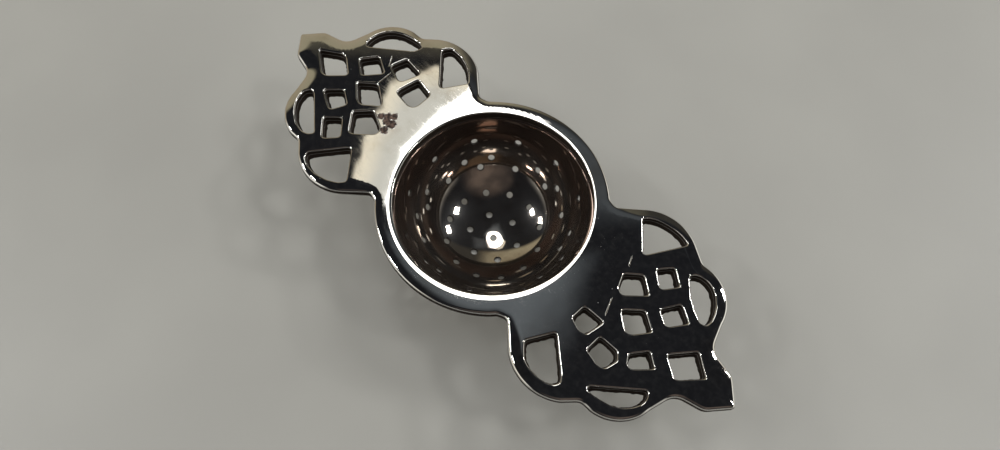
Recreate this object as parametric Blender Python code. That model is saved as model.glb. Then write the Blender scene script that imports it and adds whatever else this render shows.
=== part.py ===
"""Two-handled tea strainer: a pierced cast frame, a perforated bowl and the solder seam between them.

Lengths are metres and +Z is up. The origin is the middle of the bowl's foot, +X runs along the handles.
"""

import math

import bmesh
import bpy
from mathutils import Matrix, Vector

# Bowl, a spun half-round with a narrow flange; 2 makes its section round, and more makes it fuller
BOWL_FULLNESS = 2.25
BOWL_INNER_RADIUS = 0.0256
BOWL_WALL = 0.0007
BOWL_OUTER_RADIUS = BOWL_INNER_RADIUS + BOWL_WALL
FOOT_RADIUS = 0.0030
FOOT_SHARE = (FOOT_RADIUS / BOWL_OUTER_RADIUS) ** BOWL_FULLNESS
BOWL_CENTRE_Z = BOWL_OUTER_RADIUS * (1 - FOOT_SHARE) ** (1 / BOWL_FULLNESS)
FLANGE_RADIUS = 0.0283
MOUTH_ROUND = 0.0004
BOWL_FACETS = 48
BOWL_RINGS = 9

# Straining holes in rings round the bowl's axis
STRAIN_HOLE_RADIUS = 0.0009
STRAIN_HOLE_SIDES = 10
PAIR_SPREAD = 10.7
TWELVE = [30.0 * n for n in range(12)]
STRAIN_RINGS = [
    # (distance from the axis, turn of the ring, angles round it)
    (0.0, 0.0, [0.0]),
    (0.00715, 23.5, [60.0 * n for n in range(6)]),
    (0.0133, 23.0, TWELVE),
    (0.01945, 24.8, TWELVE),
    (0.0211, 26.0, [60.0 * n + side for n in range(6) for side in (-PAIR_SPREAD, PAIR_SPREAD)]),
    (0.0239, 26.6, TWELVE),
]

# Frame, one flat casting: ring and both handles
RIM_DEPTH = 0.0262
PLATE_TOP = BOWL_CENTRE_Z - BOWL_INNER_RADIUS + RIM_DEPTH
PLATE_THICKNESS = 0.0030
PLATE_BOTTOM = PLATE_TOP - PLATE_THICKNESS
RING_RADIUS = 0.0304
BORE_RADIUS = 0.0259
BORE_LIP = 0.0013
BORE_FACETS = 64
TIP_REACH = 0.0767
CROWN_WIDTH = 0.0050
CROWN_DROP = 0.0016
WALL_TOP_DEPTH = 0.0020
FOOT_CHAMFER = 0.0003
CROWN_STEPS = (0.00035, 0.0013, 0.0025, 0.0037, CROWN_WIDTH)
INNER_LOBE = ((0.0388, 0.0151), 0.0137)
OUTER_LOBE = ((0.0521, 0.0123), 0.0110)
# Corners of the outline between the curves, as (x, y, fillet radius), and the angles each curve spans
TIP_SHOULDER = (0.0720, 0.0054, 0.0)
TIP_NOTCH = (0.0650, 0.0072, 0.0015)
LOBE_NOTCH = (0.0503, 0.0232, 0.0020)
RING_NOTCH = (0.0243, 0.0203, 0.0014)
OUTER_LOBE_SPAN = (8.0, 84.0)
INNER_LOBE_SPAN = (54.0, 128.0)
RING_SPAN = (44.0, 90.0)

# Piercings of one handle, measured at their upright walls; the other handle has them turned half round
WINDOW_LIP = 0.0009
WINDOW_CORNER = 0.0012
CRESCENT_CORNER = 0.0007
SQUARES = [
    # (centre x, centre y, length, width, turn in degrees)
    (0.0625, 0.0000, 0.0068, 0.0062, -38.0),
    (0.0543, -0.0065, 0.0050, 0.0052, -37.0),
    (0.0468, -0.0117, 0.0062, 0.0056, -8.0),
    (0.0533, 0.0075, 0.0053, 0.0050, -30.0),
    (0.0473, 0.0002, 0.0062, 0.0057, -37.0),
    (0.0389, -0.0077, 0.0062, 0.0062, -6.0),
    (0.0464, 0.0144, 0.0052, 0.0050, -42.0),
    (0.0415, 0.0073, 0.0060, 0.0057, -36.0),
]
FANS = [
    # (lobe, side, arc radius, first angle, last angle, corner fillet, apex)
    (INNER_LOBE, 1, 0.0108, 52.0, 135.0, WINDOW_CORNER, (0.0381, 0.0156)),
    (INNER_LOBE, -1, 0.0105, 58.0, 139.0, WINDOW_CORNER, (0.0360, 0.0154)),
    (OUTER_LOBE, 1, 0.0076, -12.0, 118.0, CRESCENT_CORNER, None),
    (OUTER_LOBE, -1, 0.0077, -12.0, 120.0, CRESCENT_CORNER, None),
]

# Solder seam, a concave fillet round the edge of the bowl's flange
GAP = 0.0003
SEAM_WIDTH = 0.0011
SEAM_HEIGHT = 0.0008
SEAM_BELLY = 0.45

# Finishes, as a colour and a roughness
PLATED_CASTING = ((0.75, 0.74, 0.71), 0.12)
PLATED_BOWL = ((0.72, 0.70, 0.66), 0.08)
SOFT_SOLDER = ((0.50, 0.50, 0.50), 0.40)

CUTTER_OVERRUN = 0.0010
MERGE_DISTANCE = 1e-7
ARC_CHORD = 0.0023
FILLET_STEPS = 3


def arc(centre, radius, first, last):
    """Corners along an arc between two angles in degrees, a chord apart and with no fillet."""
    first, last = math.radians(first), math.radians(last)
    steps = max(2, round(radius * abs(last - first) / ARC_CHORD))
    turns = [first + (last - first) * n / steps for n in range(steps + 1)]
    return [(centre[0] + radius * math.cos(t), centre[1] + radius * math.sin(t), 0.0) for t in turns]


def filleted(corners):
    """Closed loop of points with each corner (x, y, fillet radius) rounded."""
    loop = []
    for n, (x, y, radius) in enumerate(corners):
        corner = Vector((x, y))
        if not radius:
            loop.append(corner)
            continue
        back = (Vector(corners[n - 1][:2]) - corner).normalized()
        ahead = (Vector(corners[(n + 1) % len(corners)][:2]) - corner).normalized()
        half = back.angle(ahead) / 2
        centre = corner + (back + ahead).normalized() * radius / math.sin(half)
        start = corner + back * radius / math.tan(half) - centre
        end = corner + ahead * radius / math.tan(half) - centre
        sweep = start.angle_signed(end)
        for k in range(FILLET_STEPS + 1):
            loop.append(centre + Matrix.Rotation(-sweep * k / FILLET_STEPS, 2) @ start)
    return loop


def inset(loop, distance):
    """Anticlockwise loop moved inwards by a distance, or outwards by a negative one."""
    moved = []
    for n, point in enumerate(loop):
        back = (point - loop[n - 1]).normalized()
        ahead = (loop[(n + 1) % len(loop)] - point).normalized()
        first, second = Vector((-back.y, back.x)), Vector((-ahead.y, ahead.x))
        moved.append(point + (first + second) * distance / (1 + first.dot(second)))
    return moved


def turned(loop):
    """Loop turned half round the bowl's axis."""
    return [-point for point in loop]


def frame_outline():
    """Outline of the casting, anticlockwise from the right tip."""
    quarter = [(TIP_REACH, 0.0, 0.0), TIP_SHOULDER, TIP_NOTCH]
    quarter += arc(*OUTER_LOBE, *OUTER_LOBE_SPAN)
    quarter.append(LOBE_NOTCH)
    quarter += arc(*INNER_LOBE, *INNER_LOBE_SPAN)
    quarter.append(RING_NOTCH)
    quarter += arc((0.0, 0.0), RING_RADIUS, *RING_SPAN)
    upper = quarter + [(-x, y, radius) for x, y, radius in reversed(quarter[:-1])]
    lower = [(x, -y, radius) for x, y, radius in reversed(upper[1:-1])]
    return filleted(upper + lower)


def window_loops():
    """Upright walls of one handle's piercings, each anticlockwise."""
    loops = []
    for x, y, length, width, turn in SQUARES:
        corners = [Vector((length * a / 2, width * b / 2)) for a, b in ((-1, -1), (1, -1), (1, 1), (-1, 1))]
        spin = Matrix.Rotation(math.radians(turn), 2)
        loops.append(filleted([(*(Vector((x, y)) + spin @ corner), WINDOW_CORNER) for corner in corners]))
    for (centre, _), side, radius, first, last, fillet, apex in FANS:
        corners = arc(centre, radius, first, last)
        corners[0] = (*corners[0][:2], fillet)
        corners[-1] = (*corners[-1][:2], fillet)
        if apex:
            corners.append((*apex, fillet))
        if side < 0:
            corners = [(x, -y, rounding) for x, y, rounding in reversed(corners)]
        loops.append(filleted(corners))
    return loops


def crown_drop(depth):
    """How far the casting's face has rolled down at a distance in from its outline."""
    return CROWN_DROP * max(0.0, 1 - depth / CROWN_WIDTH) ** 2


def distance_in(point, outline):
    """Distance from a point to the outline."""
    nearest = math.inf
    for n, start in enumerate(outline):
        along = outline[(n + 1) % len(outline)] - start
        share = min(1.0, max(0.0, (point - start).dot(along) / along.length_squared))
        nearest = min(nearest, (start + along * share - point).length)
    return nearest


def add_object(name, bm, material, parent):
    """Finished mesh as a named object, shaded smooth."""
    for face in bm.faces:
        face.smooth = True
    mesh = bpy.data.meshes.new(name)
    bm.to_mesh(mesh)
    bm.free()
    obj = bpy.data.objects.new(name, mesh)
    bpy.context.scene.collection.objects.link(obj)
    obj.parent = parent
    if material:
        mesh.materials.append(material)
    return obj


def as_cutter(obj):
    """Hide an object that only shapes another one."""
    obj.hide_render = True
    obj.display_type = "WIRE"
    return obj


def loft(rings):
    """Closed mesh through anticlockwise rings of as many points each, lowest first, capped at both ends."""
    bm = bmesh.new()
    loops = [[bm.verts.new(point) for point in ring] for ring in rings]
    for lower, upper in zip(loops, loops[1:]):
        for n in range(len(lower)):
            bm.faces.new((lower[n - 1], lower[n], upper[n], upper[n - 1]))
    bm.faces.new(reversed(loops[0]))
    bm.faces.new(loops[-1])
    return bm


def lathe(profile, facets):
    """Closed mesh of a profile of (radius, height) turned round Z."""
    bm = bmesh.new()
    verts = [bm.verts.new((radius, 0.0, z)) for radius, z in profile]
    edges = [bm.edges.new(pair) for pair in zip(verts, verts[1:])]
    if profile[0][0] > 0:
        edges.append(bm.edges.new((verts[-1], verts[0])))
    bmesh.ops.spin(
        bm, geom=verts + edges, axis=(0, 0, 1), angle=2 * math.pi, steps=facets, use_merge=True
    )
    bmesh.ops.remove_doubles(bm, verts=bm.verts[:], dist=MERGE_DISTANCE)
    bmesh.ops.recalc_face_normals(bm, faces=bm.faces[:])
    return bm


def opening_cutter(name, wall, lip, outline):
    """Cutter for an opening whose top edge is rolled over by the lip and follows the crowned face."""
    roll = lip * (1 - math.sqrt(0.5))
    rise = roll / (lip - roll)
    steps = [(0.0, -lip), (roll, -roll), (lip + GAP, rise * GAP)]
    rings = [[(*point, PLATE_BOTTOM - CUTTER_OVERRUN) for point in wall]]
    for reach, level in steps:
        ring = inset(wall, -reach)
        rings.append([(*point, PLATE_TOP + level - crown_drop(distance_in(point, outline))) for point in ring])
    rings.append([(*point, PLATE_TOP + CUTTER_OVERRUN) for point in ring])
    return as_cutter(add_object(name, loft(rings), None, None))


def make_frame(material, parent):
    """Ring and handles in one casting, crowned on top, with the bore and the piercings cut out."""
    outline = frame_outline()
    sections = [
        (FOOT_CHAMFER, -PLATE_THICKNESS),
        (0.0, FOOT_CHAMFER - PLATE_THICKNESS),
        (0.0, -WALL_TOP_DEPTH),
    ]
    sections += [(depth, -crown_drop(depth)) for depth in CROWN_STEPS]
    rings = [[(*point, PLATE_TOP + level) for point in inset(outline, depth)] for depth, level in sections]
    frame = add_object("frame", loft(rings), material, parent)

    cutters = bpy.data.collections.new("frame_cutters")
    turns = [2 * math.pi * n / BORE_FACETS for n in range(BORE_FACETS)]
    bore = [BORE_RADIUS * Vector((math.cos(turn), math.sin(turn))) for turn in turns]
    cutters.objects.link(opening_cutter("cut_bore", bore, BORE_LIP, outline))
    for number, wall in enumerate(window_loops(), 1):
        for side, loop in (("right", wall), ("left", turned(wall))):
            cutters.objects.link(opening_cutter(f"cut_{side}_{number}", loop, WINDOW_LIP, outline))
    cut = frame.modifiers.new("openings", "BOOLEAN")
    cut.operation = "DIFFERENCE"
    cut.operand_type = "COLLECTION"
    cut.collection = cutters
    return frame


def bowl_profile():
    """Section of the bowl from its axis inside, over the flange and back to its axis outside."""

    power = 2 / BOWL_FULLNESS

    def wall(radius, first, last):
        turns = [first + (last - first) * n / BOWL_RINGS for n in range(BOWL_RINGS + 1)]
        return [(radius * math.sin(t) ** power, BOWL_CENTRE_Z - radius * math.cos(t) ** power) for t in turns]

    top = PLATE_BOTTOM - GAP
    mouth = math.acos(((BOWL_CENTRE_Z - top + MOUTH_ROUND) / BOWL_INNER_RADIUS) ** (1 / power))
    neck = math.acos(((BOWL_CENTRE_Z - top + BOWL_WALL + MOUTH_ROUND) / BOWL_OUTER_RADIUS) ** (1 / power))
    foot = math.asin((FOOT_RADIUS / BOWL_OUTER_RADIUS) ** (1 / power))
    inside = wall(BOWL_INNER_RADIUS, 0.0, mouth)
    outside = wall(BOWL_OUTER_RADIUS, neck, foot)
    bend = MOUTH_ROUND * (1 - math.sqrt(0.5))
    rim = [
        (inside[-1][0] + bend, top - bend),
        (inside[-1][0] + MOUTH_ROUND, top),
        (FLANGE_RADIUS, top),
        (FLANGE_RADIUS, top - BOWL_WALL),
        (outside[0][0] + MOUTH_ROUND, top - BOWL_WALL),
    ]
    return inside + rim + outside + [(0.0, 0.0)]


def make_bowl(material, parent):
    """Spun bowl with its flange, drilled with rings of straining holes."""
    bowl = add_object("strainer_bowl", lathe(bowl_profile(), BOWL_FACETS), material, parent)
    bm = bmesh.new()
    for reach, start, turns in STRAIN_RINGS:
        share = (reach / BOWL_INNER_RADIUS) ** BOWL_FULLNESS
        depth = BOWL_INNER_RADIUS * (1 - share) ** (1 / BOWL_FULLNESS)
        slope = math.atan((reach / depth) ** (BOWL_FULLNESS - 1))
        for turn in turns:
            swing = Matrix.Rotation(math.radians(start + turn), 4, "Z")
            place = swing @ Matrix.Translation((reach, 0.0, BOWL_CENTRE_Z - depth))
            bmesh.ops.create_cone(
                bm,
                cap_ends=True,
                segments=STRAIN_HOLE_SIDES,
                radius1=STRAIN_HOLE_RADIUS,
                radius2=STRAIN_HOLE_RADIUS,
                depth=2 * (BOWL_WALL + CUTTER_OVERRUN),
                matrix=place @ Matrix.Rotation(-slope, 4, "Y"),
            )
    drills = as_cutter(add_object("bowl_drills", bm, None, None))
    cut = bowl.modifiers.new("straining_holes", "BOOLEAN")
    cut.operation = "DIFFERENCE"
    cut.object = drills
    return bowl


def make_seam(material, parent):
    """Ring of solder that fills the corner between the flange's edge and the casting."""
    inner, top = FLANGE_RADIUS + GAP, PLATE_BOTTOM - GAP
    half = (1 - SEAM_BELLY) / 2
    belly = (inner + SEAM_WIDTH * half, top - SEAM_HEIGHT * half)
    profile = [(inner, top), (inner, top - SEAM_HEIGHT), belly, (inner + SEAM_WIDTH, top)]
    return add_object("solder_seam", lathe(profile, BORE_FACETS), material, parent)


def metal(name, colour, roughness):
    """Plain metal finish."""
    material = bpy.data.materials.new(name)
    material.use_nodes = True
    shader = material.node_tree.nodes["Principled BSDF"]
    shader.inputs["Base Color"].default_value = (*colour, 1.0)
    shader.inputs["Metallic"].default_value = 1.0
    shader.inputs["Roughness"].default_value = roughness
    return material


def main():
    for obj in list(bpy.data.objects):
        bpy.data.objects.remove(obj)
    strainer = bpy.data.objects.new("strainer", None)
    bpy.context.scene.collection.objects.link(strainer)
    make_frame(metal("plated_casting", *PLATED_CASTING), strainer)
    make_bowl(metal("plated_bowl", *PLATED_BOWL), strainer)
    make_seam(metal("soft_solder", *SOFT_SOLDER), strainer)


main()
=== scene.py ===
"""A two-handled tea strainer on a pale table: pierced plated casting, perforated bowl and solder seam.

Meshes are worked out in millimetres, with the flat of the casting at height zero and the bowl's axis
through the origin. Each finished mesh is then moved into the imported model's frame, which is in metres
with the bowl's foot at the origin. Patterns in the materials are in millimetres too.
"""

import logging
import math
from collections.abc import Iterable
from dataclasses import dataclass
from enum import Enum
from functools import reduce

import bmesh
import bpy
import numpy as np
from mathutils import Matrix, Vector, noise


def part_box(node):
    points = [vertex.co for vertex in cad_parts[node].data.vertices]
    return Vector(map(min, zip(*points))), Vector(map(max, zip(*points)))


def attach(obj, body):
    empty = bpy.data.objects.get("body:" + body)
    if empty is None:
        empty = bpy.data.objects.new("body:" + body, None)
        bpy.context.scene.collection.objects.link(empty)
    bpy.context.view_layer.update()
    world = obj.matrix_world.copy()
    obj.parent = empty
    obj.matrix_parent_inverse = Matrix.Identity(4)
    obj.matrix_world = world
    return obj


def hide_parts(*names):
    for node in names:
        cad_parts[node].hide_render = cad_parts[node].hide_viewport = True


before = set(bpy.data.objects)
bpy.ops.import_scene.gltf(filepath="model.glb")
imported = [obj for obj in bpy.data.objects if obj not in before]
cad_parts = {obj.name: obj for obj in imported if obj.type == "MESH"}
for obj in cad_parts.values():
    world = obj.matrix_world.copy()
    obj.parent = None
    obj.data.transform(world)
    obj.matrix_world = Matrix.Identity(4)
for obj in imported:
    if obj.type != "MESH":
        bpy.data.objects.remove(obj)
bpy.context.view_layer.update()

LOG = logging.getLogger("tea_strainer")
MM = 0.001
PLATE_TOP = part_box("frame")[1][2]
# Mesh attribute: grime on the casting, and painted shade on the walls of the bowl's holes.
GRIME_AND_SHADE = "grime_and_shade"
PICTURE_RIGHT = Vector((0.7234, 0.6904))
PICTURE_UP = Vector((-0.6904, 0.7234))
SHALLOWEST_MITRE = 0.5
WELD = 1e-4
TINY = 1e-6

# Marks on faces while the casting is modelled.
WALL_MARK = 0
TOP_MARK = 1

BMesh = bmesh.types.BMesh
BMVert = bmesh.types.BMVert
BMEdge = bmesh.types.BMEdge
BMFace = bmesh.types.BMFace
Socket = bpy.types.NodeSocket
Ring = list[BMVert]
Loop = list[Vector]
Span = tuple[float, float]
Triple = tuple[float, float, float]
Colour = tuple[float, float, float, float]

# A corner is x, y and a fillet radius. An ease is two levels, and the values at them if not 0 and 1.
Corner = Triple
Ease = tuple[float, ...]


class Slot(Enum):
    """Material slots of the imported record."""

    CASTING = "plated_casting"
    BOWL = "plated_bowl"
    SOLDER = "soft_solder"


class Cap(Enum):
    """Which way a flat fill faces."""

    UP = 1.0
    DOWN = -1.0


def arc(centre: Span, radius: float, first: float, last: float, chord: float = 0.5) -> list[Corner]:
    """Corners along an arc.

    Args:
        centre: Middle of the arc.
        radius: Radius of the arc.
        first: Angle at which it starts, in degrees.
        last: Angle at which it ends, in degrees.
        chord: Length of one step.

    Returns:
        Corners with no fillet.
    """
    steps = max(2, round(radius * math.radians(abs(last - first)) / chord))
    turns = [math.radians(first + (last - first) * n / steps) for n in range(steps + 1)]
    return [(centre[0] + radius * math.cos(t), centre[1] + radius * math.sin(t), 0.0) for t in turns]


def filleted(corners: list[Corner], steps: int = 8) -> Loop:
    """Round the corners of a closed outline.

    Args:
        corners: Corners as x, y and fillet radius.
        steps: Steps in one fillet.

    Returns:
        Closed loop of points.
    """
    loop: Loop = []
    for n, (x, y, radius) in enumerate(corners):
        corner = Vector((x, y))
        if not radius:
            loop.append(corner)
            continue
        back = (Vector(corners[n - 1][:2]) - corner).normalized()
        ahead = (Vector(corners[(n + 1) % len(corners)][:2]) - corner).normalized()
        half = back.angle(ahead) / 2
        centre = corner + (back + ahead).normalized() * radius / math.sin(half)
        start = corner + back * radius / math.tan(half) - centre
        end = corner + ahead * radius / math.tan(half) - centre
        sweep = start.angle_signed(end)
        loop += [centre + Matrix.Rotation(-sweep * k / steps, 2) @ start for k in range(steps + 1)]
    return loop


def resampled(loop: Loop, pitch: float) -> Loop:
    """Put points along a closed loop an even pitch apart.

    Args:
        loop: Closed loop of points.
        pitch: Distance between points along the loop.

    Returns:
        Loop of evenly spaced points.
    """
    ends = np.array([*loop, loop[0]])
    reach = np.concatenate([[0.0], np.cumsum(np.linalg.norm(np.diff(ends, axis=0), axis=1))])
    marks = np.linspace(0.0, reach[-1], round(reach[-1] / pitch), endpoint=False)
    xs = np.interp(marks, reach, ends[:, 0])
    ys = np.interp(marks, reach, ends[:, 1])
    return [Vector(pair) for pair in zip(xs, ys)]


def softened(loop: Loop, rounds: int) -> Loop:
    """Ease the corners of an evenly spaced loop, as polishing does.

    Args:
        loop: Closed loop of points.
        rounds: How many times each point moves towards its neighbours.

    Returns:
        The eased loop.
    """
    points = np.array(loop)
    for _ in range(rounds):
        points = points / 2 + (np.roll(points, 1, axis=0) + np.roll(points, -1, axis=0)) / 4
    return [Vector(point) for point in points]


def outward(loop: Loop) -> Loop:
    """Mitre vectors of an anticlockwise loop.

    Args:
        loop: Closed loop of points.

    Returns:
        One vector for each point, which moves the loop outwards by one unit.
    """
    mitres: Loop = []
    for n, point in enumerate(loop):
        back = (point - loop[n - 1]).normalized()
        ahead = (loop[(n + 1) % len(loop)] - point).normalized()
        first, second = Vector((back.y, -back.x)), Vector((ahead.y, -ahead.x))
        mitres.append((first + second) / max(SHALLOWEST_MITRE, 1 + first.dot(second)))
    return mitres


def grown(loop: Loop, distance: float) -> Loop:
    """Anticlockwise loop moved outwards by a distance, or inwards by a negative one."""
    return [point + mitre * distance for point, mitre in zip(loop, outward(loop))]


def eased_in(loop: Loop, distance: float, step: float = 0.1) -> Loop:
    """Move a loop inwards little by little, easing it so that tight corners don't cross over themselves.

    Args:
        loop: Closed anticlockwise loop of points.
        distance: How far in it goes, or out where it is negative.
        step: Longest single move.

    Returns:
        Loop with as many points as before.
    """
    moves = max(1, math.ceil(abs(distance) / step))
    for _ in range(moves):
        loop = softened(grown(loop, -distance / moves), 1)
    return loop


def add_ring(bm: BMesh, loop: Loop, height: float) -> list[BMEdge]:
    """Add a closed ring of edges.

    Args:
        bm: Mesh that gets the ring.
        loop: Points of the ring.
        height: Height of the ring.

    Returns:
        The new edges.
    """
    verts = [bm.verts.new((point.x, point.y, height)) for point in loop]
    return [bm.edges.new((verts[n - 1], verts[n])) for n in range(len(verts))]


def ring_edges(bm: BMesh, ring: Ring) -> list[BMEdge]:
    """Edges between neighbours of a closed ring of vertices."""
    return [bm.edges.get((ring[n - 1], ring[n])) for n in range(len(ring))]


def extruded(bm: BMesh, ring: Ring, places: list[Vector]) -> Ring:
    """Extrude a ring of edges and put the new ring in place.

    Args:
        bm: Mesh that holds the ring.
        ring: Vertices of the ring, in order.
        places: Where the twin of each vertex goes.

    Returns:
        Vertices of the new ring, in the same order.
    """
    made = bmesh.ops.extrude_edge_only(bm, edges=ring_edges(bm, ring))["geom"]
    fresh = {item for item in made if isinstance(item, BMVert)}
    for face in made:
        if isinstance(face, BMFace):
            face.material_index = WALL_MARK
    raised = []
    for vert, place in zip(ring, places):
        twin = next(edge.other_vert(vert) for edge in vert.link_edges if edge.other_vert(vert) in fresh)
        twin.co = place
        raised.append(twin)
    return raised


def fill_between(bm: BMesh, edges: list[BMEdge], facing: Cap) -> None:
    """Fill the flat region between rings of edges, leaving the inner rings open."""
    normal = (0.0, 0.0, facing.value)
    bmesh.ops.triangle_fill(bm, use_beauty=True, use_dissolve=False, edges=edges, normal=normal)


def open_rims(bm: BMesh) -> list[Ring]:
    """Walk the open edges of a sheet.

    Args:
        bm: Mesh with open edges.

    Returns:
        Anticlockwise rings of vertices, longest first.
    """
    beside: dict[BMVert, Ring] = {}
    for edge in bm.edges:
        if edge.is_boundary:
            first, second = edge.verts
            beside.setdefault(first, []).append(second)
            beside.setdefault(second, []).append(first)
    rings = []
    while beside:
        before = next(iter(beside))
        ring = [before]
        step = beside[before][0]
        while step != ring[0]:
            ring.append(step)
            ahead = [vert for vert in beside[step] if vert != before]
            before, step = step, ahead[0]
        for vert in ring:
            del beside[vert]
        area = sum(ring[n - 1].co.x * v.co.y - v.co.x * ring[n - 1].co.y for n, v in enumerate(ring))
        rings.append(ring if area > 0 else ring[::-1])
    return sorted(rings, key=len, reverse=True)


def lathe(profile: list[Span], steps: int, closed: bool) -> BMesh:
    """Spin a profile round the upright axis.

    Args:
        profile: Points as radius and height.
        steps: Steps of the full turn.
        closed: Whether the last point joins the first.

    Returns:
        The spun mesh, facing out.
    """
    bm = bmesh.new()
    verts = [bm.verts.new((radius, 0.0, height)) for radius, height in profile]
    edges = [bm.edges.new(pair) for pair in zip(verts, verts[1:])]
    if closed:
        edges.append(bm.edges.new((verts[-1], verts[0])))
    whole = verts + edges
    bmesh.ops.spin(bm, geom=whole, axis=(0, 0, 1), angle=2 * math.pi, steps=steps, use_merge=True)
    bmesh.ops.remove_doubles(bm, verts=bm.verts[:], dist=WELD)
    bmesh.ops.recalc_face_normals(bm, faces=bm.faces[:])
    return bm


def as_mesh(name: str, bm: BMesh) -> bpy.types.Mesh:
    """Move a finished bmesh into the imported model's frame.

    Args:
        name: Name of the mesh.
        bm: Mesh in millimetres, which is freed.

    Returns:
        Smooth-shaded mesh in metres.
    """
    place = Matrix.Translation((0.0, 0.0, PLATE_TOP)) @ Matrix.Scale(MM, 4)
    bmesh.ops.transform(bm, matrix=place, verts=bm.verts[:])
    for face in bm.faces:
        face.smooth = True
    mesh = bpy.data.meshes.new(name)
    bm.to_mesh(mesh)
    bm.free()
    return mesh


def add_object(name: str, data: bpy.types.ID) -> bpy.types.Object:
    """Put a mesh, a lamp or the camera into the scene.

    Args:
        name: Name of the object.
        data: What the object holds.

    Returns:
        The object, at the origin.
    """
    obj = bpy.data.objects.new(name, data)
    bpy.context.scene.collection.objects.link(obj)
    return obj


def dress(obj: bpy.types.Object, node: str, material: bpy.types.Material) -> None:
    """Give a piece its finish, and let it stand for its CAD node.

    Args:
        obj: The finished piece.
        node: CAD node that it replaces.
        material: Finish of the piece.
    """
    obj.data.materials.clear()
    obj.data.materials.append(material)
    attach(obj, "root")
    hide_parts(node)
    LOG.info("%s: %d faces, %s", obj.name, len(obj.data.polygons), material.name)


@dataclass(frozen=True)
class Lobe:
    """One round lobe of a handle."""

    x: float
    y: float
    radius: float

    def edge(self, first: float, last: float) -> list[Corner]:
        """Arc of the lobe's edge between two angles."""
        return arc((self.x, self.y), self.radius, first, last)


INNER_LOBE = Lobe(38.8, 15.1, 13.7)
WORN_LOBE = Lobe(38.8, 14.6, 13.5)
FULL_LOBE = Lobe(38.8, 15.4, 13.8)
OUTER_LOBE = Lobe(52.1, 12.3, 11.0)


# Corners of the piercings at their lips. Each was filed to a shape of its own.
RIGHT_PIERCINGS: tuple[tuple[Corner, ...], ...] = (
    ((68.5, 0.5, 0.6), (62.8, 5.0, 0.6), (57.2, -1.3, 0.8), (62.9, -5.3, 0.9)),
    ((58.5, -5.9, 0.6), (54.4, -2.8, 0.6), (50.7, -7.3, 0.8), (52.3, -9.9, 0.6), (54.0, -10.3, 0.6)),
    (
        (50.8, -10.4, 0.8), (49.1, -8.2, 0.6), (43.3, -8.2, 0.9), (43.0, -13.7, 0.8),
        (47.8, -14.9, 0.8), (49.7, -14.2, 0.6),
    ),
    ((57.6, 8.3, 0.7), (52.7, 11.4, 0.7), (49.2, 6.2, 0.8), (53.7, 3.2, 1.0)),
    ((52.5, 0.6, 0.7), (47.4, 4.1, 0.8), (42.4, -0.2, 0.8), (47.3, -4.3, 0.8), (49.0, -3.7, 0.6)),
    ((42.6, -5.0, 0.9), (35.7, -5.1, 1.0), (35.4, -10.1, 0.7), (39.2, -11.6, 0.9), (41.3, -11.0, 0.7)),
    ((50.3, 14.1, 0.7), (45.8, 17.7, 0.7), (42.2, 13.7, 0.8), (46.8, 9.6, 1.0)),
    ((46.3, 7.1, 0.7), (41.5, 11.0, 0.7), (37.1, 7.4, 0.7), (38.7, 3.3, 0.8), (40.9, 2.2, 0.7)),
    (
        (45.0, 24.2, 0.8), (43.8, 25.2, 0.0), (41.9, 25.7, 0.0), (39.5, 25.8, 0.0),
        (36.9, 25.5, 0.0), (34.5, 24.9, 0.0), (32.6, 23.9, 0.0), (31.0, 22.2, 0.6),
        (38.1, 13.7, 0.8),
    ),
    (
        (44.6, -23.2, 0.9), (43.2, -21.4, 0.0), (35.5, -14.4, 0.8), (30.9, -21.8, 0.7),
        (32.6, -23.9, 0.0), (34.3, -25.5, 0.0), (36.5, -26.3, 0.0), (39.2, -26.5, 0.0),
        (41.9, -26.1, 0.0), (43.8, -25.0, 0.0),
    ),
    (
        (61.0, 12.2, 0.0), (60.5, 14.2, 0.0), (59.4, 16.5, 0.0), (57.6, 18.6, 0.0),
        (55.7, 19.9, 0.0), (53.8, 20.4, 0.0), (51.9, 20.3, 0.0), (50.3, 19.5, 0.0),
        (49.2, 18.0, 0.5), (52.6, 13.9, 0.0), (55.7, 11.5, 0.0), (58.8, 9.7, 0.8),
        (60.6, 10.1, 0.7),
    ),
    (
        (61.4, -12.4, 0.8), (60.1, -10.1, 0.8), (48.7, -19.4, 0.9), (49.3, -20.9, 0.9),
        (51.1, -20.8, 0.0), (53.4, -20.4, 0.0), (56.1, -19.7, 0.0), (58.4, -18.4, 0.0),
        (60.1, -16.5, 0.0), (61.2, -14.5, 0.0),
    ),
)
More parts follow.
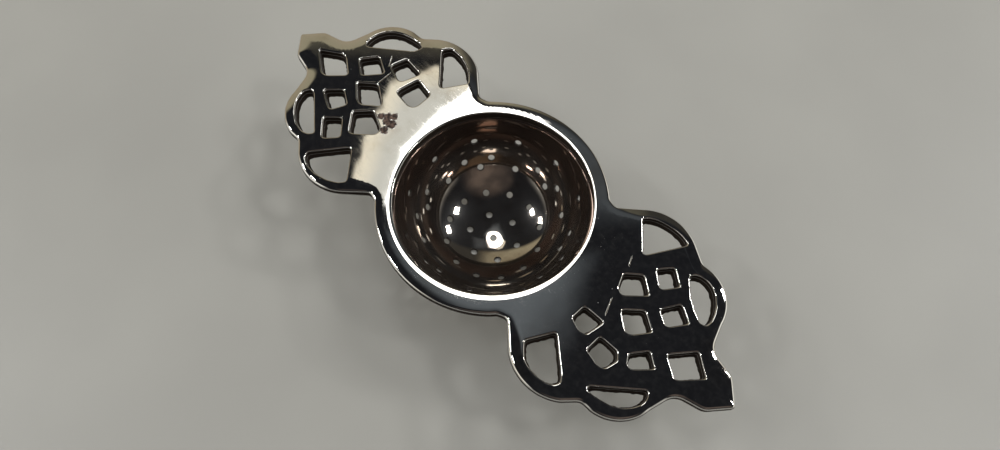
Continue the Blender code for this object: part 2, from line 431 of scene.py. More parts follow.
LEFT_PIERCINGS: tuple[tuple[Corner, ...], ...] = (
    ((-68.8, -0.1, 0.6), (-60.8, -5.9, 2.6), (-55.1, -0.3, 1.0), (-61.6, 4.5, 2.8)),
    ((-58.0, 5.4, 0.9), (-52.9, 1.7, 1.1), (-48.0, 7.2, 1.1), (-54.1, 10.5, 1.0)),
    ((-52.6, -0.2, 0.8), (-46.5, -5.3, 2.4), (-40.4, -0.6, 1.2), (-47.5, 4.0, 1.6)),
    ((-57.5, -8.3, 0.9), (-50.6, -11.9, 1.3), (-48.0, -6.8, 1.1), (-53.0, -3.8, 0.9)),
    ((-46.2, -7.3, 0.8), (-41.3, -13.2, 1.4), (-33.6, -6.7, 2.2), (-42.0, -2.8, 0.9)),
    ((-50.7, -14.0, 0.9), (-45.4, -19.2, 1.0), (-41.6, -15.1, 0.9), (-46.4, -10.0, 1.0)),
    ((-47.9, 15.2, 0.9), (-49.8, 9.7, 1.0), (-43.2, 7.4, 1.5), (-40.6, 14.2, 1.0)),
    ((-40.6, 12.6, 0.9), (-42.4, 4.8, 1.4), (-33.9, 3.6, 2.4), (-33.8, 11.2, 1.2)),
    (
        (-43.4, 23.7, 1.2), (-33.9, 13.5, 1.2), (-28.8, 20.9, 1.1), (-31.2, 23.4, 0.0),
        (-34.1, 25.2, 0.0), (-37.4, 26.3, 0.0), (-41.3, 26.5, 1.2),
    ),
    (
        (-45.7, -24.3, 1.0), (-44.3, -26.1, 0.0), (-41.9, -27.1, 0.0), (-38.7, -27.3, 0.0),
        (-35.0, -26.4, 0.0), (-32.0, -24.8, 0.0), (-30.3, -22.8, 0.9), (-37.6, -14.3, 1.2),
    ),
    (
        (-59.0, 9.5, 0.8), (-47.9, 17.8, 0.6), (-46.9, 20.7, 0.9), (-49.2, 21.6, 0.0),
        (-52.3, 21.3, 0.0), (-55.2, 20.5, 0.0), (-57.7, 19.1, 0.0), (-59.6, 17.1, 0.0),
        (-60.7, 14.6, 0.0), (-60.9, 12.0, 0.0), (-60.5, 10.3, 0.6),
    ),
    (
        (-59.7, -10.0, 0.7), (-61.0, -12.0, 0.0), (-60.7, -13.9, 0.0), (-59.9, -15.8, 0.0),
        (-58.5, -17.6, 0.0), (-56.5, -19.4, 0.0), (-54.0, -20.8, 0.0), (-51.2, -21.3, 0.0),
        (-49.0, -20.7, 0.0), (-47.6, -19.0, 0.7), (-58.0, -10.3, 0.6),
    ),
)


@dataclass(frozen=True)
class Wall:
    """Section of an opening: its lip, then how far in, how deep, how ragged and how grimy each ring is.

    A share of the lip may be a gentle bevel, steeper towards the picture's left, and the lip may be uneven,
    wider towards the picture's lower left.
    """

    BEVEL_STEPS = 4
    ROUND_STEPS = 6
    WIDER_LEFT = 0.5
    STEEPER_LEFT = 0.45
    lip: float
    rings: tuple[tuple[float, float, float, float], ...]
    bevel: float = 0.0
    bevelled: float = 0.0
    uneven: float = 0.0

    def rolled(self, place: Vector) -> list[Triple]:
        """Rings of the lip.

        Args:
            place: Point of the opening's edge, in plan.

        Returns:
            How far in, how deep and how steep each ring is there.
        """
        side = place.normalized()
        width = self.lip - self.uneven * side.dot(PICTURE_UP + self.WIDER_LEFT * PICTURE_RIGHT)
        lean = math.radians(self.bevel) * (1 - self.STEEPER_LEFT * side.dot(PICTURE_RIGHT))
        flat = width * self.bevelled
        drop = flat * math.tan(lean) / 2
        shares = [n / self.BEVEL_STEPS for n in range(1, self.BEVEL_STEPS + 1)]
        rings = [(flat * share, drop * share * share, lean * share) for share in shares if flat]
        radius = (width - flat) / (1 - math.sin(lean))
        for n in range(1, self.ROUND_STEPS + 1):
            turn = lean + (math.pi / 2 - lean) * n / self.ROUND_STEPS
            reach = flat + radius * (math.sin(turn) - math.sin(lean))
            rings.append((reach, drop + radius * (math.cos(lean) - math.cos(turn)), turn))
        return rings


WINDOW_WALL = Wall(
    0.45,
    (
        (0.46, 1.15, 0.0, 0.95),
        (0.47, 1.50, 0.0, 0.95),
        (0.52, 1.66, 0.14, 0.50),
        (0.50, 1.82, 0.0, 0.95),
        (0.62, 2.20, 0.10, 1.00),
        (0.80, 2.70, 0.20, 1.00),
        (0.88, 2.92, 0.28, 0.85),
        (0.80, 3.00, 0.0, 0.00),
    ),
)
BORE_WALL = Wall(
    1.15, ((1.13, 1.60, 0.0, 0.85), (0.98, 2.70, 0.05, 0.90), (0.95, 3.00, 0.0, 0.00)), 7.5, 0.75, 0.4
)


@dataclass(frozen=True)
class Gathering:
    """How grime gathers on a rolled edge as the edge steepens."""

    gain: float
    start: float
    most: float

    def at(self, lean: float) -> float:
        """Share of grime where the edge leans by an angle."""
        return min(self.most, max(0.0, self.gain * lean - self.start))


EDGE_GRIME = Gathering(2.0, 1.9, 0.8)
LIP_GRIME = Gathering(2.2, 2.5, 0.85)


class Crown:
    """Polished top of the casting, flat in the middle and eased down towards its outline."""

    RING_WIDTH = 2.4
    RING_DROP = 0.16
    HANDLE_WIDTH = 4.0
    HANDLE_DROP = 0.75
    EASING = 0.5
    RING_END = 30.5
    HANDLE_START = 40.0
    BATCH = 1000

    def __init__(self, outline: Loop) -> None:
        """Keep the outline as straight steps."""
        self.starts = np.array(outline)
        self.steps = np.roll(self.starts, -1, axis=0) - self.starts

    def inward(self, places: np.ndarray) -> tuple[np.ndarray, np.ndarray]:
        """Distances from the outline, and which way is inwards.

        Args:
            places: Points in plan, one in a row.

        Returns:
            Distance of each place, and a direction away from the nearby outline, shorter along ridges.
        """
        depth = np.empty(len(places))
        inwards = np.empty_like(places)
        lengths = (self.steps**2).sum(axis=1)
        for n in range(0, len(places), self.BATCH):
            batch = slice(n, n + self.BATCH)
            away = places[batch, None, :] - self.starts
            share = np.clip((away * self.steps).sum(axis=2) / lengths, 0.0, 1.0)
            away -= share[..., None] * self.steps
            reach = np.linalg.norm(away, axis=2)
            nearest = reach.min(axis=1)
            weight = np.exp((nearest[:, None] - reach) / self.EASING)
            away *= (weight / np.maximum(reach, TINY))[..., None]
            depth[batch] = nearest
            inwards[batch] = away.sum(axis=1) / weight.sum(axis=1)[:, None]
        return depth, inwards

    def fall(self, places: np.ndarray, depth: np.ndarray) -> tuple[np.ndarray, np.ndarray]:
        """How far and how steeply the top has eased down towards the outline.

        Args:
            places: Points in plan, one in a row.
            depth: Their distances from the outline.

        Returns:
            Drop and slope at each place.
        """
        reach = np.linalg.norm(places, axis=1)
        handle = np.clip((reach - self.RING_END) / (self.HANDLE_START - self.RING_END), 0.0, 1.0)
        handle = handle * handle * (3 - 2 * handle)
        width = self.RING_WIDTH + (self.HANDLE_WIDTH - self.RING_WIDTH) * handle
        drop = self.RING_DROP + (self.HANDLE_DROP - self.RING_DROP) * handle
        left = np.clip(1 - depth / width, 0.0, 1.0)
        return drop * left**2, 2 * drop / width * left

    def surface(self, places: np.ndarray) -> tuple[np.ndarray, np.ndarray]:
        """Height and normal of the top.

        Args:
            places: Points in plan, one in a row.

        Returns:
            Heights, and normals one in a row.
        """
        depth, inwards = self.inward(places)
        drop, slope = self.fall(places, depth)
        normals = np.column_stack([-inwards * slope[:, None], np.ones(len(places))])
        normals /= np.linalg.norm(normals, axis=1)[:, None]
        return -drop, normals


@dataclass
class Casting:
    """Ring and both pierced handles in one casting, with rolled lips and a crowned top.

    The foot of its outer edge is given as rings: how far in, how high above the underside and how grimy.
    """

    EDGE_FOOT = ((0.0, 0.8, 0.85), (0.0, 0.55, 0.25), (0.0, 0.3, 0.15), (0.3, 0.0, 0.0))
    thickness: float = 3.0
    ring_radius: float = 30.4
    ring_span: Span = (44.0, 90.0)
    ring_shift: Span = (0.42, -0.52)
    ring_fade: float = 10.0
    bore_edge: float = 27.1
    bore_shift: Span = (0.37, -0.47)
    edge_roll: float = 0.8
    edge_steps: int = 6
    tip: Corner = (77.0, 0.0, 0.8)
    tip_shoulder: Corner = (72.1, 5.5, 3.5)
    tip_notch: Corner = (65.0, 7.2, 4.0)
    outer_span: Span = (8.0, 84.0)
    lobe_notch: Corner = (50.3, 23.2, 2.0)
    inner_span: Span = (54.0, 128.0)
    ring_notch: Corner = (24.3, 20.3, 1.4)
    lumps: float = 0.8
    chips: float = 2.1
    ragged_bias: float = 0.2
    pitch: float = 0.45
    grid: float = 0.75
    grid_weld: float = 0.03
    sharp: float = 50.0

    def quarter(self, inner: Lobe) -> list[Corner]:
        """Corners of a quarter of the outline.

        Args:
            inner: Lobe beside the ring.

        Returns:
            Corners from the right tip to the ring.
        """
        corners = [self.tip, self.tip_shoulder, self.tip_notch]
        corners += OUTER_LOBE.edge(*self.outer_span)
        corners.append(self.lobe_notch)
        corners += inner.edge(*self.inner_span)
        corners.append(self.ring_notch)
        return corners + arc((0.0, 0.0), self.ring_radius, *self.ring_span)

    def outline(self) -> Loop:
        """Outline of the casting, with the ring set off its handles' centre.

        Returns:
            Closed loop, anticlockwise from the right tip.
        """
        whole = self.quarter(INNER_LOBE)
        upper = self.quarter(WORN_LOBE) + [(-x, y, fillet) for x, y, fillet in reversed(whole[:-1])]
        lower = [(-x, -y, fillet) for x, y, fillet in whole[1:]]
        lower += [(x, -y, fillet) for x, y, fillet in reversed(self.quarter(FULL_LOBE)[1:-1])]
        loop = softened(resampled(filleted(upper + lower), self.pitch), 1)
        shares = [min(1.0, max(0.0, (self.ring_radius - abs(place.x)) / self.ring_fade)) for place in loop]
        return [place + Vector(self.ring_shift) * share for place, share in zip(loop, shares)]

    def bore(self) -> Loop:
        """Edge of the opening over the bowl, where its bevelled lip begins."""
        circle = arc(self.bore_shift, self.bore_edge, 0.0, 360.0, self.pitch)[:-1]
        return resampled(filleted(circle), self.pitch)

    def windows(self) -> list[Loop]:
        """Lips of the piercings of both handles."""
        piercings = [filleted(list(corners)) for corners in RIGHT_PIERCINGS + LEFT_PIERCINGS]
        return [softened(resampled(piercing, self.pitch), 2) for piercing in piercings]

    def sheet(self, border: Loop) -> BMesh:
        """Lay out the top of the casting as a flat sheet with its openings.

        Args:
            border: Outline of the casting.

        Returns:
            The sheet, which ends where the rolled edges and lips begin.
        """
        bm = bmesh.new()
        bm.verts.layers.float.new(GRIME_AND_SHADE)
        edges = add_ring(bm, grown(border, -self.edge_roll), 0.0)
        edges += add_ring(bm, self.bore(), 0.0)
        for lip in self.windows():
            edges += add_ring(bm, lip, 0.0)
        fill_between(bm, edges, Cap.UP)
        for face in bm.faces:
            face.material_index = TOP_MARK
        return bm

    def lay_on_crown(self, bm: BMesh, crown: Crown) -> dict[BMVert, Vector]:
        """Bring the sheet to the height of the crowned top.

        Args:
            bm: Mesh of the casting.
            crown: Shape of the top.

        Returns:
            Worked-out normals of the sheet's vertices.
        """
        top = list({vert for face in bm.faces if face.material_index == TOP_MARK for vert in face.verts})
        heights, tilts = crown.surface(np.array([vert.co.xy for vert in top]))
        normals = {}
        for vert, height, tilt in zip(top, heights, tilts):
            vert.co.z = height
            normals[vert] = Vector(tilt)
        return normals

    def cut_grid(self, bm: BMesh) -> None:
        """Cut the sheet into a grid, so that it can follow the crown.

        Args:
            bm: Mesh of the casting.
        """
        for axis, reach in ((Vector((1, 0, 0)), self.tip[0]), (Vector((0, 1, 0)), self.ring_radius)):
            for n in range(math.ceil(-reach / self.grid), math.ceil(reach / self.grid)):
                faces = [face for face in bm.faces if face.material_index == TOP_MARK]
                edges = list({edge for face in faces for edge in face.edges})
                verts = list({vert for face in faces for vert in face.verts})
                bmesh.ops.bisect_plane(
                    bm,
                    geom=verts + edges + faces,
                    dist=self.grid_weld,
                    plane_co=axis * self.grid * n,
                    plane_no=axis,
                )

    def mesh(self) -> bpy.types.Mesh:
        """Model the casting.

        Returns:
            Closed mesh with worked-out normals on its polished top, lips and edges.
        """
        border = self.outline()
        bm = self.sheet(border)
        crown = Crown(border)
        normals = self.lay_on_crown(bm, crown)
        edge, *openings = open_rims(bm)
        feet = [self.roll_edge(bm, edge, crown, normals)]
        for ring in openings:
            is_bore = min(vert.co.xy.length for vert in ring) < self.bore_edge
            feet.append(self.roll_lip(bm, ring, BORE_WALL if is_bore else WINDOW_WALL, normals))
        fill_between(bm, [item for foot in feet for item in ring_edges(bm, foot)], Cap.DOWN)
        bmesh.ops.recalc_face_normals(bm, faces=bm.faces[:])
        self.cut_grid(bm)
        normals |= self.lay_on_crown(bm, crown)
        for face in bm.faces:
            face.material_index = WALL_MARK
        bm.verts.index_update()
        by_index = {vert.index: normal for vert, normal in normals.items()}
        mesh = as_mesh("casting", bm)
        mesh.set_sharp_from_angle(angle=math.radians(self.sharp))
        none = Vector((0.0, 0.0, 0.0))
        mesh.normals_split_custom_set_from_vertices(
            [by_index.get(n, none) for n in range(len(mesh.vertices))]
        )
        return mesh

    def roll_edge(self, bm: BMesh, ring: Ring, crown: Crown, normals: dict[BMVert, Vector]) -> Ring:
        """Roll the top over its outline and down to the underside.

        Args:
            bm: Mesh of the casting.
            ring: Rim of the sheet.
            crown: Shape of the top.
            normals: Worked-out normals, which get those of the rolled edge.

        Returns:
            Lowest ring of the edge.
        """
        base = [vert.co.copy() for vert in ring]
        mitres = outward([place.xy for place in base])
        slopes = crown.fall(np.array([place.xy for place in base]), np.full(len(base), self.edge_roll))[1]
        starts = np.arctan(slopes)
        grime_and_shade = bm.verts.layers.float[GRIME_AND_SHADE]
        for n in range(1, self.edge_steps + 1):
            places = []
            leans = starts + (math.pi / 2 - starts) * n / self.edge_steps
            for place, mitre, start, lean in zip(base, mitres, starts, leans):
                radius = self.edge_roll / (1 - math.sin(start))
                reach = radius * (math.sin(lean) - math.sin(start))
                fall = radius * (math.cos(start) - math.cos(lean))
                places.append(place + Vector((*mitre * reach, -fall)))
            ring = extruded(bm, ring, places)
            for vert, mitre, lean in zip(ring, mitres, leans):
                normals[vert] = Vector((*mitre.normalized() * math.sin(lean), math.cos(lean)))
                vert[grime_and_shade] = EDGE_GRIME.at(lean)
        for inset, rise, dirt in self.EDGE_FOOT:
            reach = self.edge_roll - inset
            height = rise - self.thickness
            ring = extruded(bm, ring, [Vector((*(p.xy + m * reach), height)) for p, m in zip(base, mitres)])
            for vert in ring:
                vert[grime_and_shade] = dirt
        return ring

    def raggedness(self, place: Vector, depth: float) -> float:
        """How ragged a cast wall is.

        Args:
            place: Point of the wall, in plan.
            depth: How far down the point is.

        Returns:
            How far the wall stands proud there, as a share.
        """
        coarse = noise.noise(Vector((place.x * self.lumps, place.y * self.lumps, depth)))
        fine = noise.noise(Vector((*place * self.chips, 0.0)))
        return max(0.0, coarse + fine / 2 + self.ragged_bias)

    def roll_lip(self, bm: BMesh, ring: Ring, wall: Wall, normals: dict[BMVert, Vector]) -> Ring:
        """Roll the top over the lip of an opening and down its grimy cast wall.

        Args:
            bm: Mesh of the casting.
            ring: Rim of the opening in the sheet.
            wall: Section of the opening.
            normals: Worked-out normals, which get those of the lip.

        Returns:
            Lowest ring of the opening.
        """
        grime_and_shade = bm.verts.layers.float[GRIME_AND_SHADE]
        base = [vert.co.copy() for vert in ring]
        tops = [normals[vert] for vert in ring]
        mitres = outward([place.xy for place in base])
        for rings in zip(*(wall.rolled(place.xy) for place in base)):
            places = [p - Vector((*m * reach, fall)) for p, m, (reach, fall, _) in zip(base, mitres, rings)]
            ring = extruded(bm, ring, places)
            for vert, mitre, top, (_, _, lean) in zip(ring, mitres, tops, rings):
                inwards = Vector((*-mitre.normalized(), 0.0))
                normals[vert] = (top * math.cos(lean) + inwards * math.sin(lean)).normalized()
                vert[grime_and_shade] = LIP_GRIME.at(lean)
        loop, reached = [vert.co.xy for vert in ring], wall.lip
        for inset, depth, ragged, dirt in wall.rings:
            loop, reached = eased_in(loop, inset - reached), inset
            places = []
            for place, mitre in zip(loop, outward(loop)):
                place_in = place - mitre * ragged * self.raggedness(place, depth)
                places.append(Vector((*place_in, -depth)))
            ring = extruded(bm, ring, places)
            for vert in ring:
                vert[grime_and_shade] = dirt
        return ring

    def build(self, material: bpy.types.Material) -> None:
        """Make the casting and let it stand for its CAD node."""
        dress(add_object("frame_casting", self.mesh()), "frame", material)


@dataclass(frozen=True)
class HoleRing:
    """One ring of straining holes round the bowl's axis."""

    reach: float
    turn: float
    angles: tuple[float, ...]


SIX = tuple(60.0 * n for n in range(6))
TWELVE = tuple(30.0 * n for n in range(12))
PAIRS = tuple(middle + side for middle in SIX for side in (-10.7, 10.7))
HOLE_RINGS = (
    HoleRing(0.0, 0.0, (0.0,)),
    HoleRing(7.15, 23.5, SIX),
    HoleRing(13.3, 23.0, TWELVE),
    HoleRing(19.45, 24.8, TWELVE),
    HoleRing(21.1, 26.0, PAIRS),
    HoleRing(23.9, 26.6, TWELVE),
)


@dataclass
class StrainerBowl:
    """Spun half-round bowl with straining holes and a narrow flange under the casting.

    A hole's flare is given in stages: how far each rises, and its share of the flare's width.
    """

    FLARES = ((0.14, 0.35), (0.08, 1.0), (0.6, 3.0))
    fullness: float = 2.25
    inner_radius: float = 25.6
    wall: float = 0.7
    centre: float = -0.6
    mouth: float = -3.05
    mouth_round: float = 0.4
    mouth_steps: int = 4
    flange_radius: float = 28.3
    hole_radius: float = 0.9
    hole_flare: float = 0.12
    flare_start: float = 0.22
    hole_sink: float = 0.03
    hole_sides: int = 24
    foot: float = 3.0
    press_depth: float = 0.35
    press_radius: float = 14.0
    punch_rise: float = 0.07
    punch_radius: float = 2.7
    # Painted shade: the hole walls and the flat of the foot below this height are darkened.
    shaded_below: float = 20.0
    turns: int = 144
    rings: int = 44
    slope_step: float = 0.01
    wall_slack: float = 0.03
    mouth_slack: float = 0.02
    sharp: float = 40.0

    def section(self, radius: float, share: float) -> Span:
        """Point of a wall's section.

        Args:
            radius: Radius of the wall at its mouth.
            share: Angle along the section, from 0 at the bottom to a right angle at the centre's height.

        Returns:
            Distance from the axis, and height.
        """
        power = 2 / self.fullness
        return radius * math.sin(share) ** power, self.centre - radius * math.cos(share) ** power

    def share_at(self, radius: float, height: float) -> float:
        """Angle along a wall's section at which it reaches a height."""
        return math.acos(((self.centre - height) / radius) ** (self.fullness / 2))

    def pressed(self, reach: float | np.ndarray) -> float | np.ndarray:
        """How far the inside is pressed down, with a flat round the middle hole.

        Args:
            reach: Distances from the axis.

        Returns:
            Depth of the press at each distance.
        """
        broad = np.clip(1 - (reach / self.press_radius) ** 2, 0.0, 1.0)
        middle = np.clip(1 - (reach / self.punch_radius) ** 2, 0.0, 1.0)
        return self.press_depth * broad**3 - self.punch_rise * middle**2

    def profile(self) -> list[Span]:
        """Section of the bowl.

        Returns:
            Points from the axis inside, over the mouth and flange, and back to the axis outside.
        """
        outer_radius = self.inner_radius + self.wall
        last = self.share_at(self.inner_radius, self.mouth - self.mouth_round)
        inside = [self.section(self.inner_radius, last * n / self.rings) for n in range(self.rings + 1)]
        inside = [(reach, height - float(self.pressed(reach))) for reach, height in inside]
        edge = inside[-1][0] + self.mouth_round
        rim = []
        for n in range(1, self.mouth_steps + 1):
            turn = math.pi / 2 * n / self.mouth_steps
            fall = self.mouth_round * (1 - math.sin(turn))
            rim.append((edge - self.mouth_round * math.cos(turn), self.mouth - fall))
        rim += [(self.flange_radius, self.mouth), (self.flange_radius, self.mouth - self.wall)]
        first = self.share_at(outer_radius, self.mouth - self.wall - self.mouth_round)
        stop = math.asin((self.foot / outer_radius) ** (self.fullness / 2))
        shares = [first + (stop - first) * n / self.rings for n in range(self.rings + 1)]
        outside = [self.section(outer_radius, share) for share in shares]
        rim.append((outside[0][0] + self.mouth_round, self.mouth - self.wall))
        return inside + rim + outside + [(0.0, outside[-1][1])]

    def drills(self) -> bpy.types.Mesh:
        """Make cutters for the straining holes.

        Returns:
            Mesh of cutters, each slightly flared where the punch came through.
        """
        bm = bmesh.new()
        for ring in HOLE_RINGS:
            share = (ring.reach / self.inner_radius) ** self.fullness
            depth = self.inner_radius * (1 - share) ** (1 / self.fullness)
            slope = math.atan((ring.reach / depth) ** (self.fullness - 1))
            level = self.centre - depth - float(self.pressed(ring.reach)) - self.hole_sink
            for angle in ring.angles:
                swing = Matrix.Rotation(math.radians(ring.turn + angle), 4, "Z")
                place = swing @ Matrix.Translation((ring.reach, 0.0, level))
                self.drill(bm, place @ Matrix.Rotation(-slope, 4, "Y"))
        return as_mesh("drills", bm)

    def drill(self, bm: BMesh, place: Matrix) -> None:
        """Add one flared drill.

        Args:
            bm: Mesh that gets the drill.
            place: Where the hole meets the inner wall, with Z along the wall's inward normal.
        """
        made = bmesh.ops.create_circle(bm, cap_ends=True, segments=self.hole_sides, radius=self.hole_radius)
        bmesh.ops.translate(bm, verts=made["verts"], vec=(0.0, 0.0, -2 * self.wall))
        face = made["verts"][0].link_faces[0]
        body = made["verts"][:]
        for rise, share in ((2 * self.wall - self.flare_start, 0.0), *self.FLARES):
            face = bmesh.ops.extrude_discrete_faces(bm, faces=[face])["faces"][0]
            growth = (self.hole_radius + self.hole_flare * share) / face.verts[0].co.xy.length
            bmesh.ops.scale(bm, verts=face.verts[:], vec=(growth, growth, 1.0))
            bmesh.ops.translate(bm, verts=face.verts[:], vec=(0.0, 0.0, rise))
            body += face.verts[:]
        bmesh.ops.transform(bm, matrix=place, verts=body)

    def drilled(self) -> bpy.types.Mesh:
        """Cut the holes through the spun bowl.

        Returns:
            Mesh of the pierced bowl.
        """
        whole = add_object("bowl_whole", as_mesh("bowl_whole", lathe(self.profile(), self.turns, False)))
        cutter = add_object("bowl_drills", self.drills())
        cut = whole.modifiers.new("holes", "BOOLEAN")
        cut.operation = "DIFFERENCE"
        cut.solver = "EXACT"
        cut.object = cutter
        graph = bpy.context.evaluated_depsgraph_get()
        mesh = bpy.data.meshes.new_from_object(whole.evaluated_get(graph))
        mesh.name = "bowl"
        for helper in (whole, cutter):
            data = helper.data
            bpy.data.objects.remove(helper)
            bpy.data.meshes.remove(data)
        return mesh

    def shade(self, mesh: bpy.types.Mesh) -> None:
        """Give the spun walls their true normals, so that they mirror without facets, and mark the walls of
        the holes for painted shade.

        Args:
            mesh: Mesh of the pierced bowl.
        """
        count = len(mesh.vertices)
        places = np.empty(count * 3)
        mesh.vertices.foreach_get("co", places)
        places = (places.reshape(count, 3) - (0.0, 0.0, PLATE_TOP)) / MM - (0.0, 0.0, self.centre)
        reach = np.linalg.norm(places[:, :2], axis=1)
        spokes = places[:, :2] / np.maximum(reach, TINY)[:, None]
        step = self.slope_step
        dip = (self.pressed(reach - step) - self.pressed(reach + step)) / (2 * step)
        below_mouth = -self.mouth + self.centre + self.mouth_round - self.mouth_slack
        normals = np.zeros((len(mesh.loops), 3))
        # Painted shade: faces below that height which aren't on the spun walls, the hole walls and the foot's
        # flat, are marked dark.
        caked_and_shaded = np.array([face.center.z < self.shaded_below * MM for face in mesh.polygons], dtype=float)
        outer_radius = self.inner_radius + self.wall
        for radius, press, facing in ((self.inner_radius, 1.0, -1.0), (outer_radius, 0.0, 1.0)):
            depth = np.maximum(-places[:, 2] - press * self.pressed(reach), 0.0)
            size = (reach**self.fullness + depth**self.fullness) ** (1 / self.fullness)
            down = depth ** (self.fullness - 1)
            out = reach ** (self.fullness - 1) + press * dip * down
            lean = np.column_stack([spokes * out[:, None], -down])
            lean /= np.maximum(np.linalg.norm(lean, axis=1), TINY)[:, None]
            on_wall = (np.abs(size - radius) < self.wall_slack) & (depth > below_mouth)
            for face in mesh.polygons:
                corners = list(face.vertices)
                if on_wall[corners].all():
                    normals[face.loop_start : face.loop_start + face.loop_total] = lean[corners] * facing
                    caked_and_shaded[face.index] = 0.0
        mesh.attributes.new(GRIME_AND_SHADE, "FLOAT", "FACE").data.foreach_set("value", caked_and_shaded)
        mesh.set_sharp_from_angle(angle=math.radians(self.sharp))
        mesh.normals_split_custom_set([tuple(normal) for normal in normals])

    def build(self, material: bpy.types.Material) -> None:
        """Make the bowl and let it stand for its CAD node.

        Args:
            material: Finish of the bowl.
        """
        mesh = self.drilled()
        self.shade(mesh)
        dress(add_object("strainer_bowl_spun", mesh), "strainer_bowl", material)


@dataclass
class SolderSeam:
    """Uneven fillet of solder between the bowl's flange and the underside of the casting."""

    inner: float = 28.32
    top: float = -3.02
    width: float = 1.3
    height: float = 0.95
    belly: float = 0.45
    face_steps: int = 8
    turns: int = 160
    swell: float = 0.14
    swell_scale: float = 0.35
    ripple: float = 0.05
    ripple_scale: float = 1.4
    bonded: float = 0.05
    sharp: float = 60.0

    def profile(self) -> list[Span]:
        """Section of the seam.

        Returns:
            Points of a hollow face between the flange and the casting.
        """
        points = [(self.inner, self.top)]
        for n in range(self.face_steps):
            share = n / self.face_steps
            sag = self.belly * math.sin(math.pi * share) / 2
            across = max(0.0, share - sag / 2)
            down = max(0.0, 1 - share - sag / 2)
            points.append((self.inner + self.width * across, self.top - self.height * down))
        return points + [(self.inner + self.width, self.top)]

    def build(self, material: bpy.types.Material) -> None:
        """Make the seam and let it stand for its CAD node.

        Args:
            material: Finish of the seam.
        """
        bm = lathe(self.profile(), self.turns, True)
        for vert in bm.verts:
            reach = vert.co.xy.length - self.inner
            swell = self.swell * noise.noise(vert.co * self.swell_scale)
            swell += self.ripple * noise.noise(vert.co * self.ripple_scale)
            if reach > self.bonded:
                vert.co.xy *= 1 + swell * reach / self.inner
            if vert.co.z < self.top - self.bonded:
                vert.co.z += swell * (vert.co.z - self.top)
        obj = add_object("solder_seam_run", as_mesh("solder", bm))
        obj.data.set_sharp_from_angle(angle=math.radians(self.sharp))
        dress(obj, "solder_seam", material)


@dataclass(frozen=True)
class Pattern:
    """Noise of a scale, detail and roughness, eased from start at a low level to end at a high level."""

    scale: float
    detail: float
    rough: float
    low: float
    high: float
    start: float = 0.0
    end: float = 1.0


class Graph:
    """Short calls for building one node tree."""

    def __init__(self, tree: bpy.types.NodeTree) -> None:
        """Work on a node tree."""
        self.tree = tree

    def put(self, socket: Socket, value: object) -> None:
        """Link a socket to an input, or set a value on the input.

        Args:
            socket: The input.
            value: Socket or value that it gets.
        """
        if isinstance(value, Socket):
            self.tree.links.new(value, socket)
        else:
            socket.default_value = value

    def node(self, kind: str, inputs: dict | None = None, **settings: object) -> bpy.types.Node:
        """Add a node.

        Args:
            kind: Node type.
            inputs: Values or sockets by input name or number.
            settings: Properties of the node.

        Returns:
            The new node.
        """
        node = self.tree.nodes.new(kind)
        for name, value in settings.items():
            setattr(node, name, value)
        for key, value in (inputs or {}).items():
            self.put(node.inputs[key], value)
        return node

    def maths(self, operation: str, first: object, second: object = 0.0) -> Socket:
        """Result of a Math node."""
        return self.node("ShaderNodeMath", {0: first, 1: second}, operation=operation).outputs[0]

    def chain(self, operation: str, values: Iterable[object]) -> Socket:
        """Result of a Math operation on several values in turn."""
        return reduce(lambda first, second: self.maths(operation, first, second), values)

    def times(self, first: object, second: object) -> Socket:
        """Product of two values."""
        return self.maths("MULTIPLY", first, second)

    def vector(self, operation: str, *inputs: object) -> Socket:
        """Result of a Vector Math node, which is a number for a dot product or a distance."""
        node = self.node("ShaderNodeVectorMath", dict(enumerate(inputs)), operation=operation)
        return node.outputs["Value" if operation in ("DOT_PRODUCT", "DISTANCE") else "Vector"]

    def scaled(self, place: object, factor: object) -> Socket:
        """Place scaled by a factor."""
        inputs = {0: place, "Scale": factor}
        return self.node("ShaderNodeVectorMath", inputs, operation="SCALE").outputs[0]

    def noise(self, place: object, scale: float, detail: float, rough: float) -> Socket:
        """Value of a noise texture at a place."""
        inputs = {"Vector": place, "Scale": scale, "Detail": detail, "Roughness": rough}
        return self.node("ShaderNodeTexNoise", inputs).outputs["Fac"]

    def between(self, value: object, low: float, high: float, start: float = 0.0, end: float = 1.0) -> Socket:
        """Value eased from start at low to end at high."""
        inputs = {"Value": value, "From Min": low, "From Max": high, "To Min": start, "To Max": end}
        return self.node("ShaderNodeMapRange", inputs, interpolation_type="SMOOTHSTEP").outputs[0]

    def pattern(self, place: object, kind: Pattern) -> Socket:
        """Value of a pattern at a place."""
        level = self.noise(place, kind.scale, kind.detail, kind.rough)
        return self.between(level, kind.low, kind.high, kind.start, kind.end)

    def mapped(self, place: object, turn: float, scale: Triple) -> Socket:
        """Place turned about the upright axis by degrees, and stretched."""
        inputs = {"Vector": place, "Rotation": (0.0, 0.0, math.radians(turn)), "Scale": scale}
        return self.node("ShaderNodeMapping", inputs).outputs[0]

    def blend(self, share: object, first: object, second: object) -> Socket:
        """Colour between two colours."""
        return self.node("ShaderNodeMix", {0: share, 6: first, 7: second}, data_type="RGBA").outputs[2]

    def bump(self, height: object, distance: float, normal: object = None) -> Socket:
        """Raise a surface.

        Args:
            height: Height at each place, as a share.
            distance: Full height, in metres.
            normal: Normal of the surface before, if it isn't the mesh's own.

        Returns:
            Normal of the raised surface.
        """
        inputs = {"Height": height, "Distance": distance, "Strength": 1.0}
        if normal is not None:
            inputs["Normal"] = normal
        return self.node("ShaderNodeBump", inputs).outputs[0]

    def millimetres(self) -> Socket:
        """Object coordinates in millimetres."""
        return self.scaled(self.node("ShaderNodeTexCoord").outputs["Object"], 1 / MM)

    def grime_and_shade(self) -> Socket:
        """Grime of the casting, and painted shade in the bowl's holes, as written on the mesh."""
        return self.node("ShaderNodeAttribute", attribute_name=GRIME_AND_SHADE).outputs["Fac"]


